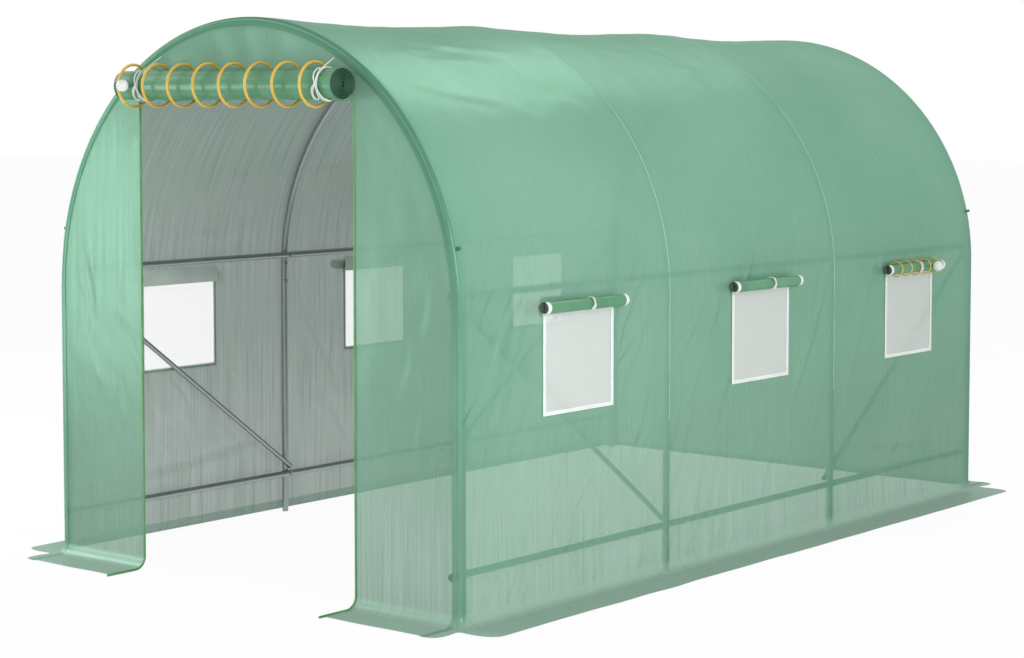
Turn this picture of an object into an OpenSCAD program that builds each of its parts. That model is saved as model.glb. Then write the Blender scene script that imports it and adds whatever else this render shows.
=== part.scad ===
// Walk-in polytunnel greenhouse: a tube frame of four hoops under a woven cover,
// with a roll-up door in the front wall and three roll-up windows in each side.
// The origin lies on the ground in the middle of the plan. The door faces -Y.

/* [Tunnel] */
// Length over the outside of the end hoops
frame_length = 3500; // [2400:50:6000]
// Width over the outside of the cover, twice the radius of the arch
tunnel_width = 2000; // [1600:50:3000]
// Height of the straight legs under the arch
leg_height = 1025; // [800:5:1300]

/* [Frame] */
// Diameter of the hoop and rail tubes
tube_d = 25; // [19:1:42]
// Wall of every tube
tube_wall = 1; // [0.7:0.1:2]
// Height of the base rails above the ground
base_rail_z = 165; // [80:5:300]
// Height of the side rails above the top of the legs
side_rail_up = 66; // [50:1:120]
// How far the rails run past the end hoops
rail_overhang = 14; // [6:1:30]
// Diameter of the diagonal braces
brace_d = 19; // [16:1:32]
// Room between the end of a brace and its rail
brace_drop = 22; // [18:1:60]
// How far a brace runs past the middle of each hoop
brace_end = 12; // [6:1:20]

/* [Cover] */
// Thickness of the cover
cover_t = 2; // [1:0.5:4]
// Room between two pieces that rest against each other
fit_gap = 0.3; // [0.2:0.05:0.6]
// Width of the skirt that lies on the ground
skirt_w = 180; // [120:10:320]
// How far the ends of the skirt flare past the corners
skirt_flare = 25; // [0:5:110]

/* [Door] */
// Width of the doorway
door_w = 1080; // [700:20:1300]
// Distance from the top of the cover down to the middle of the rolled-up door
door_drop = 240; // [220:5:400]
// Diameter of the rolled-up door
door_roll_d = 114; // [80:2:140]
// How far the rolled-up door runs past the doorway
door_roll_over = 5; // [0:5:60]
// Diameter of the piping on the doorway's edges
piping_d = 9; // [5:1:14]
// Radius of the bend where the piping turns out along the ground
piping_bend_r = 45; // [30:5:110]
// Distance from the left edge of the doorway to the left tie
tie_left_in = 123; // [90:1:200]
// Distance from the right edge of the doorway to the right tie
tie_right_in = 66; // [30:1:110]
// How far under the edge of the arch the ties are sewn to the wall
tie_hem = 20; // [10:1:40]
// Thickness of a tie where it goes round the roll
tie_d = 4; // [3:0.5:6]
// Diameter of the single string from the roll up to the wall
string_d = 3; // [2:0.5:3]

/* [Rings round the rolled-up door] */
// Number of rings
door_ring_count = 8; // [3:1:10]
// Distance from the left edge of the doorway to the first ring
door_ring_left_in = 46; // [10:1:55]
// Distance from the right edge of the doorway to the last ring
door_ring_right_in = 124; // [80:1:150]
// Thickness of a ring
door_ring_wire = 10; // [6:1:14]
// Room between the rolled-up door and a ring
door_ring_room = 14; // [8:1:20]

/* [Windows] */
// Width over the window's border
window_w = 400; // [250:10:600]
// Height from the border's lower edge to the middle of the rolled-up flap
window_h = 375; // [250:5:500]
// Height of the middle of the rolled-up flap above the top of the legs
window_roll_up = 5; // [-60:1:10]
// Width of the border at the sides and the bottom
border_w = 14; // [10:1:30]
// Thickness of the border
border_t = 2; // [1:0.5:4]
// How far the border laps over the edge of the cover
border_lap = 6; // [3:1:9]
// Width of the head band that carries the rolled-up flap
head_band_w = 61; // [55:1:90]
// Thickness of the window net
net_t = 1; // [0.5:0.1:1]
// Diameter of the rolled-up flap
window_roll_d = 46; // [30:1:56]
// How far the rolled-up flap runs past the border
window_roll_over = 30; // [0:5:60]
// How far the right windows sit behind the middle of their bays
window_shift = 30; // [0:1:60]
// Distance of a window's tie from its middle
window_tie_y = 25; // [10:1:40]
// Diameter of the window tie strings
window_tie_d = 3; // [2:0.5:4]

/* [Rings round the last right window's flap] */
// Number of rings
window_ring_count = 5; // [3:2:5]
// Distance from the border's edge to the first and the last ring
window_ring_in = 40; // [10:5:60]
// Thickness of a ring
window_ring_wire = 5; // [3:0.5:7]
// Room between the rolled-up flap and a ring
window_ring_room = 5.5; // [5:0.5:10]

/* [Ball toggles] */
// Diameter of the ball in front of the two ringed rolls
ball_d = 44; // [25:1:54]

/* [Hidden] */
$fn = 96;
cover_fn = 360;

left = -1;
right = 1;
front = -1;
rear = 1;
bays = 3;

// Cover: outer faces of the sides, the ends and the arch
half_w = tunnel_width / 2;
spring_z = leg_height;
tunnel_height = spring_z + half_w;
rail_half = frame_length / 2 + rail_overhang;
wall_in_y = rail_half + fit_gap;
wall_out_y = wall_in_y + cover_t;

// Frame: middle lines of the tubes
hoop_half = frame_length / 2 - tube_d / 2;
bay = 2 * hoop_half / bays;
hoop_r = half_w - cover_t - fit_gap - tube_d / 2;
rail_r = hoop_r - tube_d - fit_gap;
side_rail_z = spring_z + side_rail_up;
side_rail_x = sqrt(rail_r * rail_r - side_rail_up * side_rail_up);
hoop_ys = [for (i = [0 : bays]) -hoop_half + i * bay];
bay_ys = [for (i = [0 : bays - 1]) -hoop_half + (i + 0.5) * bay];

// Braces: from under the side rail at an end hoop to over the base rail at the next hoop,
// set in far enough to clear the arch where it starts to lean in
brace_high_z = side_rail_z - tube_d / 2 - brace_drop;
brace_low_z = base_rail_z + tube_d / 2 + brace_drop;
brace_rise = brace_high_z - brace_low_z;
brace_span = sqrt(bay * bay + brace_rise * brace_rise) + 2 * brace_end;
brace_lean = atan2(bay, brace_rise);
brace_over = max(0, brace_high_z + brace_end - spring_z);
brace_r = hoop_r - tube_d / 2 - fit_gap - brace_d / 2;
brace_x = sqrt(brace_r * brace_r - brace_over * brace_over);

// Door: the roll hangs in front of the wall, one tie string away from it
door_half = door_w / 2;
door_roll_z = tunnel_height - door_drop;
door_roll_r = door_roll_d / 2;
door_roll_off = door_roll_r + tie_d + 2 * fit_gap;
door_roll_y = -wall_out_y - door_roll_off;
door_top_z = door_roll_z - door_roll_r;
door_tie_r = door_roll_r + fit_gap + tie_d / 2;
door_tie_xs = [tie_left_in - door_half, door_half - tie_right_in];
door_ring_d = door_roll_d + 2 * door_ring_room + door_ring_wire;
door_ring_first_x = door_ring_left_in - door_half;
door_ring_pitch = (door_w - door_ring_left_in - door_ring_right_in) / (door_ring_count - 1);
skirt_t = cover_t;
piping_x = door_half - fit_gap - piping_d / 2;
piping_y = -wall_out_y + cover_t / 2;

// Windows: the border lies on the cover, the net in the cover's cut-out
border_x = half_w + border_t;
window_roll_z = spring_z + window_roll_up;
window_roll_r = window_roll_d / 2;
window_roll_off = window_roll_r + window_tie_d + 2 * fit_gap;
window_roll_x = border_x + window_roll_off;
window_roll_half = window_w / 2 + window_roll_over;
window_tie_r = window_roll_r + fit_gap + window_tie_d / 2;
window_sill_z = window_roll_z - window_h;
window_head_z = window_roll_z - head_band_w / 2;
window_top_z = window_roll_z + head_band_w / 2;
window_cut_w = window_w - 2 * (border_w - border_lap);
window_cut_z = window_sill_z + border_w - border_lap;
window_cut_h = window_head_z + border_lap - window_cut_z;
window_ys_left = bay_ys;
window_ys_right = [for (y = bay_ys) y + window_shift];
window_ring_d = window_roll_d + 2 * window_ring_room + window_ring_wire;
window_ring_pitch = (window_w - 2 * window_ring_in) / (window_ring_count - 1);
window_ring_first_y = window_ys_right[bays - 1] - window_w / 2 + window_ring_in;
window_ring_last_y = window_ys_right[bays - 1] + window_w / 2 - window_ring_in;
ball_r = ball_d / 2;

cover_color = [0.45, 0.69, 0.56];
tube_color = [0.72, 0.74, 0.75];
piping_color = [0.36, 0.57, 0.40];
ring_color = [0.85, 0.70, 0.29];
string_color = [0.93, 0.94, 0.92];
net_color = [0.82, 0.86, 0.85];

// A straight tube along Z
module tube(length, d) {
    difference() {
        cylinder(h = length, d = d);
        translate([0, 0, -1]) cylinder(h = length + 2, d = d - 2 * tube_wall);
    }
}

// One leg of the hoop at y
module leg(side, y) {
    color(tube_color) translate([side * hoop_r, y, 0]) tube(spring_z, tube_d);
}

// The half circle that joins the two legs of the hoop at y
module arch(y) {
    color(tube_color) translate([0, y, spring_z]) rotate([90, 0, 0])
        rotate_extrude(angle = 180) translate([hoop_r, 0]) difference() {
            circle(d = tube_d);
            circle(d = tube_d - 2 * tube_wall);
        }
}

// A rail from end to end of the frame
module rail(x, z) {
    color(tube_color) translate([x, rail_half, z]) rotate([90, 0, 0]) tube(2 * rail_half, tube_d);
}

// A diagonal in an end bay, high at the end hoop and low at the next one
module brace(side, end) {
    color(tube_color) translate([side * brace_x, end * hoop_half, brace_high_z])
        rotate([(180 - brace_lean) * end, 0, 0]) translate([0, 0, -brace_end]) tube(brace_span, brace_d);
}

// The shape of the tunnel seen from the front
module tunnel_profile() {
    translate([-half_w, 0]) square([tunnel_width, spring_z]);
    translate([0, spring_z]) intersection() {
        circle(r = half_w, $fn = cover_fn);
        translate([-half_w, 0]) square([tunnel_width, half_w]);
    }
}

// An end wall with its outer face at the front or the rear
module end_wall(end) {
    outer_y = end * wall_out_y;
    translate([0, end > 0 ? outer_y : outer_y + cover_t, 0]) rotate([90, 0, 0])
        linear_extrude(height = cover_t) children();
}

// The part of the front wall beside the doorway
module front_wall_side(side) {
    color(cover_color) end_wall(front) intersection() {
        tunnel_profile();
        translate([side > 0 ? door_half : -half_w, 0]) square([half_w - door_half, tunnel_height]);
    }
}

// The part of the front wall over the doorway
module front_wall_top() {
    color(cover_color) end_wall(front) intersection() {
        tunnel_profile();
        translate([-door_half, door_top_z]) square([door_w, tunnel_height]);
    }
}

module rear_wall() {
    color(cover_color) end_wall(rear) tunnel_profile();
}

// The upright side of the cover, with a cut-out for each window
module side_cover(side, window_ys) {
    color(cover_color) difference() {
        translate([side > 0 ? half_w - cover_t : -half_w, -wall_in_y, 0])
            cube([cover_t, 2 * wall_in_y, spring_z]);
        for (y = window_ys)
            translate([side * half_w - 2 * cover_t, y - window_cut_w / 2, window_cut_z])
                cube([4 * cover_t, window_cut_w, window_cut_h]);
    }
}

// The half-round roof of the cover
module roof_cover() {
    color(cover_color) translate([0, wall_in_y, spring_z]) rotate([90, 0, 0])
        linear_extrude(height = 2 * wall_in_y) intersection() {
            difference() {
                circle(r = half_w, $fn = cover_fn);
                circle(r = half_w - cover_t, $fn = cover_fn);
            }
            translate([-half_w, 0]) square([tunnel_width, half_w]);
        }
}

// The skirt along a side, flared at both ends
module side_skirt(side) {
    outer_x = side * (half_w + skirt_w);
    color(cover_color) linear_extrude(height = skirt_t) polygon([
        [side * half_w, -wall_in_y], [outer_x, -wall_out_y - skirt_flare],
        [outer_x, wall_out_y + skirt_flare], [side * half_w, wall_in_y]
    ]);
}

// The skirt along an end wall, between two places across the width
module end_skirt(end, x_from, x_to, flare_from, flare_to) {
    outer_y = end * (wall_out_y + skirt_w);
    color(cover_color) linear_extrude(height = skirt_t) polygon([
        [x_from, end * wall_out_y], [x_from - flare_from, outer_y],
        [x_to + flare_to, outer_y], [x_to, end * wall_out_y]
    ]);
}

// The door rolled up over the doorway
module door_roll() {
    color(cover_color) translate([0, door_roll_y, door_roll_z]) rotate([0, 90, 0])
        cylinder(h = door_w + 2 * door_roll_over, r = door_roll_r, center = true);
}

// A full ring of string round a roll, with its axis along Z
module string_ring(r, d) {
    rotate_extrude() translate([r, 0]) circle(d = d);
}

// The two strings that hold the rolled-up door, each sewn to the wall under the arch
module door_ties() {
    run = -wall_out_y - fit_gap - string_d / 2 - door_roll_y;
    color(string_color) for (x = door_tie_xs) {
        top_z = spring_z + sqrt(half_w * half_w - x * x) - tie_hem;
        rise = top_z - door_roll_z - door_tie_r;
        translate([x, door_roll_y, door_roll_z]) {
            rotate([0, 90, 0]) string_ring(door_tie_r, tie_d);
            translate([0, 0, door_tie_r]) rotate([-atan2(run, rise), 0, 0])
                cylinder(h = sqrt(rise * rise + run * run), d = string_d);
        }
    }
}

// A ring that is open towards the wall: +X points at the wall, its axis is Z
module open_ring(d, wire, wall_off) {
    gap_angle = acos((wall_off - fit_gap) / (d / 2 + wire / 2));
    rotate([0, 0, gap_angle]) rotate_extrude(angle = 360 - 2 * gap_angle)
        translate([d / 2, 0]) circle(d = wire);
}

// The rings that hold the rolled-up door to the wall
module door_rings() {
    color(ring_color) for (i = [0 : door_ring_count - 1])
        translate([door_ring_first_x + i * door_ring_pitch, door_roll_y, door_roll_z])
            rotate(a = 120, v = [1, 1, 1]) open_ring(door_ring_d, door_ring_wire, door_roll_off);
}

// The round piping down both edges of the doorway and out along the skirt
module door_piping() {
    color(piping_color) for (side = [left, right]) translate([side * piping_x, 0, 0]) {
        translate([0, piping_y, piping_bend_r + piping_d / 2])
            cylinder(h = door_top_z - piping_bend_r - piping_d / 2, d = piping_d);
        translate([0, piping_y - piping_bend_r, piping_bend_r + piping_d / 2])
            rotate([0, 90, 0]) rotate_extrude(angle = 90)
                translate([piping_bend_r, 0]) circle(d = piping_d);
        translate([0, piping_y - piping_bend_r, piping_d / 2]) rotate([90, 0, 0])
            cylinder(h = skirt_w - piping_bend_r, d = piping_d);
    }
}

// A ball beside the first ring of the door roll and one between the last two window rings
module ball_toggles() {
    color(string_color) {
        translate([door_ring_first_x + door_ring_wire / 2 + fit_gap + ball_r,
            door_roll_y - door_roll_r - fit_gap - ball_r, door_roll_z]) sphere(r = ball_r);
        translate([window_roll_x + window_roll_r + fit_gap + ball_r,
            window_ring_last_y - window_ring_pitch / 2, window_roll_z]) sphere(r = ball_r);
    }
}

// The borders of the windows of one side
module window_borders(side, window_ys) {
    color(string_color) for (y = window_ys) difference() {
        translate([side > 0 ? half_w : -border_x, y - window_w / 2, window_sill_z])
            cube([border_t, window_w, window_top_z - window_sill_z]);
        translate([side * half_w - 2 * border_t, y - window_w / 2 + border_w, window_sill_z + border_w])
            cube([4 * border_t, window_w - 2 * border_w, window_head_z - window_sill_z - border_w]);
    }
}

// The nets in the cut-outs of the cover
module window_nets() {
    color(net_color) for (side = [left, right], y = side > 0 ? window_ys_right : window_ys_left)
        translate([side > 0 ? half_w - net_t : -half_w, y - window_cut_w / 2 + fit_gap,
            window_cut_z + fit_gap])
            cube([net_t, window_cut_w - 2 * fit_gap, window_cut_h - 2 * fit_gap]);
}

// The rolled-up flaps over the windows of one side
module window_rolls(side, window_ys) {
    color(cover_color) for (y = window_ys)
        translate([side * window_roll_x, y + window_roll_half, window_roll_z]) rotate([90, 0, 0])
            cylinder(h = 2 * window_roll_half, r = window_roll_r);
}

// One string round each rolled-up flap
module window_ties() {
    color(string_color) for (side = [left, right], y = side > 0 ? window_ys_right : window_ys_left)
        translate([side * window_roll_x, y + window_tie_y, window_roll_z])
            rotate([90, 0, 0]) string_ring(window_tie_r, window_tie_d);
}

// The rings round the flap of the last right window
module window_rings() {
    color(ring_color) for (i = [0 : window_ring_count - 1])
        translate([window_roll_x, window_ring_first_y + i * window_ring_pitch, window_roll_z])
            rotate([90, 0, 180]) open_ring(window_ring_d, window_ring_wire, window_roll_off);
}

leg(left, hoop_ys[0]);  // front_left_leg
leg(right, hoop_ys[0]);  // front_right_leg
arch(hoop_ys[0]);  // front_arch
leg(left, hoop_ys[1]);  // second_left_leg
leg(right, hoop_ys[1]);  // second_right_leg
arch(hoop_ys[1]);  // second_arch
leg(left, hoop_ys[2]);  // third_left_leg
leg(right, hoop_ys[2]);  // third_right_leg
arch(hoop_ys[2]);  // third_arch
leg(left, hoop_ys[3]);  // rear_left_leg
leg(right, hoop_ys[3]);  // rear_right_leg
arch(hoop_ys[3]);  // rear_arch
rail(0, spring_z + rail_r);  // ridge_rail
rail(-side_rail_x, side_rail_z);  // left_side_rail
rail(side_rail_x, side_rail_z);  // right_side_rail
rail(-rail_r, base_rail_z);  // left_base_rail
rail(rail_r, base_rail_z);  // right_base_rail
brace(left, front);  // front_left_brace
brace(right, front);  // front_right_brace
brace(left, rear);  // rear_left_brace
brace(right, rear);  // rear_right_brace
side_cover(left, window_ys_left);  // left_cover
side_cover(right, window_ys_right);  // right_cover
roof_cover();
front_wall_side(left);  // front_wall_left
front_wall_side(right);  // front_wall_right
front_wall_top();
rear_wall();
side_skirt(left);  // left_skirt
side_skirt(right);  // right_skirt
end_skirt(front, -half_w, -door_half, skirt_flare, 0);  // front_left_skirt
end_skirt(front, door_half, half_w, 0, skirt_flare);  // front_right_skirt
end_skirt(rear, -half_w, half_w, skirt_flare, skirt_flare);  // rear_skirt
door_roll();
door_ties();
door_rings();
door_piping();
ball_toggles();
window_borders(left, window_ys_left);  // left_window_borders
window_borders(right, window_ys_right);  // right_window_borders
window_nets();
window_rolls(left, window_ys_left);  // left_window_rolls
window_rolls(right, window_ys_right);  // right_window_rolls
window_ties();
window_rings();
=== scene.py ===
# %% [markdown]
# # A walk-in polytunnel greenhouse
# A polytunnel is a row of bent steel hoops under one big sheet of woven plastic. The steel frame comes ready made
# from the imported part, in metres, and stays where it is. Everything soft is made here: the cover, the end walls,
# the rolled-up door and window flaps, the nets, the tapes and the strings.

# %% Load the frame
import math
from functools import partial
import bpy
import numpy as np
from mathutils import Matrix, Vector


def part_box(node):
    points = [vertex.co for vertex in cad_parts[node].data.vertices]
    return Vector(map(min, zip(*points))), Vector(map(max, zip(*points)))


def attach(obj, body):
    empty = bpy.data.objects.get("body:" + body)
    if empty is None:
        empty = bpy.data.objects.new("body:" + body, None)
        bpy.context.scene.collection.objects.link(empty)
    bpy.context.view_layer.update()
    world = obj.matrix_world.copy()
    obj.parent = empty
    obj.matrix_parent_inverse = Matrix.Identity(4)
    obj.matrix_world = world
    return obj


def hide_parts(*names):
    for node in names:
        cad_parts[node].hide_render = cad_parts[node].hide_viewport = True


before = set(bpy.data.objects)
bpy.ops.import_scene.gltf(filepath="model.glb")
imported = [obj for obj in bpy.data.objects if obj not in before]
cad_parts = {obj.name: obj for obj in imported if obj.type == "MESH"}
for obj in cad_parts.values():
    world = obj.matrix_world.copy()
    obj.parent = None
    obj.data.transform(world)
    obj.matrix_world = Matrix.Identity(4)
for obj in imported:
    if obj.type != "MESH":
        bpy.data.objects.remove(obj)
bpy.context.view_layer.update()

# %% [markdown]
# ## Sizes
# Every size that the frame already knows is read from the boxes of its parts, so the soft pieces fit without any
# moving. X runs across the tunnel, Y along it with the door at the low end, and Z is up from the ground.

# %% Read the main sizes
sides = ((-1, "left"), (1, "right"))
hoop_names = ("front", "second", "third", "rear")
roof_low, roof_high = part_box("roof_cover")
cover_r = roof_high.x - 0.001          # the middle of the cover's thickness
spring_z = roof_low.z                  # where the upright sides turn into the half-round roof
wall_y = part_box("rear_wall")[1].y      # the outer face of both end walls
skirt_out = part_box("right_skirt")[1].x - cover_r
hoop_ys = [sum(c.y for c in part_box(f"{name}_left_leg")) / 2 for name in hoop_names]
door_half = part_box("front_wall_top")[1].x
door_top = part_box("front_wall_top")[0].z
print("hoops at", [round(y, 3) for y in hoop_ys], "doorway", round(2 * door_half, 3), "by", round(door_top, 3))


def middle_and_half(node):
    """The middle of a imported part's box and half its size."""
    low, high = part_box(node)
    return (low + high) / 2, (high - low) / 2


door_roll_at, door_roll_size = middle_and_half("door_roll")
door_roll_r = door_roll_size.z

# %% Read where the windows are
window_half, border_w = 0.2, 0.014
windows = []
for side, name in sides:
    low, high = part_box(f"{name}_window_borders")
    roll_at, roll_size = middle_and_half(f"{name}_window_rolls")
    for i, place in enumerate(("front", "middle", "rear")):
        mid = low.y + window_half + i * (high.y - low.y - 2 * window_half) / 2
        windows.append(dict(name=f"{place}_{name}", side=side, y=mid, sill=low.z, top=high.z, roll_x=roll_at.x,
            roll_z=roll_at.z, roll_r=roll_size.z))
cut_half = window_half - 0.008
cut_low, cut_high = windows[0]["sill"] + 0.008, windows[0]["top"] - 0.055
print("windows at y", [round(w["y"], 3) for w in windows], "rolls at z", round(windows[0]["roll_z"], 3), "tops at z",
    round(windows[0]["top"], 3))

# %% [markdown]
# ## Small helpers
# Three helpers carry the whole script. One turns a colour code into the linear numbers that shaders work in. One adds
# a node with its settings and links. One makes a mesh out of a grid of points, because a sheet of cloth is a grid.


# %% Colour and node helpers
def linear(code):
    """An sRGB colour code as linear red, green, blue and alpha."""
    parts = [int(code[i:i + 2], 16) / 255 for i in (1, 3, 5)]
    return (*[c / 12.92 if c <= 0.04045 else ((c + 0.055) / 1.055) ** 2.4 for c in parts], 1.0)


MAP_RANGE = "ShaderNodeMapRange"        # its inputs: value, from low, from high, to low, to high


def add(tree, kind, inputs=(), **settings):
    """Adds a node, applies its settings, and fills its inputs with values or links. A kind in capitals is the
    operation of a Math node. inputs is a list in the order of the sockets, or names or numbers with their values, and
    a node among the values stands for its first output."""
    made = tree.nodes.new("ShaderNodeMath" if kind.isupper() else kind)
    if kind.isupper():
        made.operation = kind
    for name, value in settings.items():
        setattr(made, name, value)
    for name, value in inputs.items() if isinstance(inputs, dict) else enumerate(inputs):
        if isinstance(value, bpy.types.Node):
            value = value.outputs[0]
        if isinstance(value, bpy.types.NodeSocket):
            tree.links.new(value, made.inputs[name])
        else:
            made.inputs[name].default_value = value
    return made


def blank_material(name):
    """A material with an empty node tree, and the function that adds a node to it."""
    material = bpy.data.materials.new(name)
    material.use_nodes = True
    material.node_tree.nodes.clear()
    return material, partial(add, material.node_tree)


# %% Mesh helpers
def put_in_scene(name, mesh, *materials):
    """A new object at the origin that shows this mesh, smooth shaded."""
    piece = bpy.data.objects.new(name, mesh)
    bpy.context.scene.collection.objects.link(piece)
    for material in materials:
        mesh.materials.append(material)
    mesh.polygons.foreach_set("use_smooth", [True] * len(mesh.polygons))
    return piece


def sheet_from_grid(name, points, flat, material, keep=None, flip=False):
    """A sheet of cloth from rows of points. flat holds each point's place on the uncut cloth, in metres."""
    rows, cols = points.shape[:2]
    index = np.arange(rows * cols).reshape(rows, cols)
    quads = np.stack([index[:-1, :-1], index[:-1, 1:], index[1:, 1:], index[1:, :-1]], axis=-1)
    quads = quads[keep] if keep is not None else quads.reshape(-1, 4)
    if flip:
        quads = quads[:, ::-1]
    used, faces = np.unique(quads, return_inverse=True)
    faces = faces.reshape(quads.shape)
    mesh = bpy.data.meshes.new(name)
    mesh.from_pydata(points.reshape(-1, 3)[used].tolist(), [], faces.tolist())
    layer = mesh.uv_layers.new(name="cloth")
    layer.data.foreach_set("uv", flat.reshape(-1, 2)[used][faces.reshape(-1)].ravel())
    return put_in_scene(name, mesh, material)


def paint_faces(piece, material, wanted):
    """Gives one more material to the faces of a piece for which wanted is true."""
    piece.data.materials.append(material)
    for face in piece.data.polygons:
        if wanted(face):
            face.material_index = len(piece.data.materials) - 1


def finish_piece(piece, slot, *stands_for):
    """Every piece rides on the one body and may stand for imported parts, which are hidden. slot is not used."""
    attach(piece, "root")
    if stands_for:
        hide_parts(*stands_for)
    print(piece.name, len(piece.data.polygons), "faces")


# %% [markdown]
# ## Camera and light
# The camera stands at eye height off the front right corner, far enough away for a long lens. The light is that of a
# white studio: a dome that is brightest at the horizon, a soft light over the rear of the roof that lays a pale sheen
# on it, one from the left that shines through the cover, one as strong for the right side, and a weak one low down
# for the front left corner.

# %% Camera
camera = bpy.data.objects.new("camera", bpy.data.cameras.new("camera"))
bpy.context.scene.collection.objects.link(camera)
bpy.context.scene.camera = camera
camera.location = (5.704, -7.277, 1.700)
camera.rotation_euler = (math.radians(90 - 3.777), 0, math.radians(39.133))
camera.data.sensor_width = 36
camera.data.lens = 78.76
camera.data.shift_y = -0.07            # frames lower with less tilt, so upright edges stay nearly upright
camera.data.clip_end = 200


# %% Lamps
def softbox(name, place, aim, size, power):
    """A rectangular soft light that faces the point aim."""
    lamp = bpy.data.objects.new(name, bpy.data.lights.new(name, "AREA"))
    bpy.context.scene.collection.objects.link(lamp)
    lamp.location = place
    lamp.rotation_euler = (Vector(aim) - Vector(place)).to_track_quat("-Z", "Y").to_euler()
    lamp.data.shape = "RECTANGLE"
    lamp.data.size, lamp.data.size_y = size
    lamp.data.energy = power


softbox("roof_light", (-0.6, 3.4, 5.6), (0, 0.3, 1.2), (2.4, 2.2), 56)
softbox("left_light", (-5.5, -2.5, 3.6), (0, 0, 1.0), (2.6, 2.6), 150)
softbox("side_light", (6.0, -3.7, 2.6), (0.9, -0.9, 0.8), (2.0, 2.0), 150)
softbox("front_light", (-3.2, -4.2, 1.0), (-0.8, -1.8, 0.55), (1.4, 1.4), 34)


# %% World
def looked_at(node):
    """1 for rays of the camera, also by way of a mirror or a clear film, and 0 for the light that falls on things."""
    rays = node("ShaderNodeLightPath")
    seen = node("MAXIMUM", [rays.outputs["Is Camera Ray"], rays.outputs["Is Glossy Ray"]])
    return node("MAXIMUM", [seen, rays.outputs["Is Transmission Ray"]])


world = bpy.data.worlds.new("studio")
bpy.context.scene.world = world
world.use_nodes = True
world.node_tree.nodes.clear()
node = partial(add, world.node_tree)
up = node("ShaderNodeSeparateXYZ", [node("ShaderNodeTexCoord").outputs["Generated"]]).outputs[2]
falling = node(MAP_RANGE, [up, 0.0, 1.0, 1.0, 0.30])
dome = node("ShaderNodeBackground", {"Color": linear("#f8faf8"), "Strength": falling})
white = node("ShaderNodeBackground", {"Color": (1, 1, 1, 1), "Strength": 1.0})
mixed = node("ShaderNodeMixShader", [looked_at(node), dome, white])
node("ShaderNodeOutputWorld", {"Surface": mixed})

# %% Floor
floor_white, node = blank_material("studio_floor_white_paint")
shown = node("MULTIPLY", [looked_at(node), 0.95])      # the rest of the floor's look is its own shaded paint
paint = node("ShaderNodeBsdfDiffuse", {"Color": linear("#fbfcfb")})
glow = node("ShaderNodeEmission", {"Color": (1, 1, 1, 1), "Strength": 1.0})
mixed = node("ShaderNodeMixShader", [shown, paint, glow])
node("ShaderNodeOutputMaterial", {"Surface": mixed})
floor_mesh = bpy.data.meshes.new("floor")
floor_mesh.from_pydata([(-60, -60, 0), (60, -60, 0), (60, 60, 0), (-60, 60, 0)], [], [(0, 1, 2, 3)])
floor = put_in_scene("floor", floor_mesh, floor_white)

# %% [markdown]
# ## The cover's material
# The cover is woven from flat polyethylene threads and coated on both sides with a thin green film. It does three
# things to light at once: the film reflects green with a soft gloss, the weave scatters light through to the other
# side, and the pinholes between the threads let a little straight through, so the frame shows as a shadow.
# Mixing three shaders gives just that. The warp threads stand out as fine ribs, and they are drawn 10 mm apart,
# four times coarser than the real 2.5 mm, because finer ones vanish at this distance.


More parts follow.
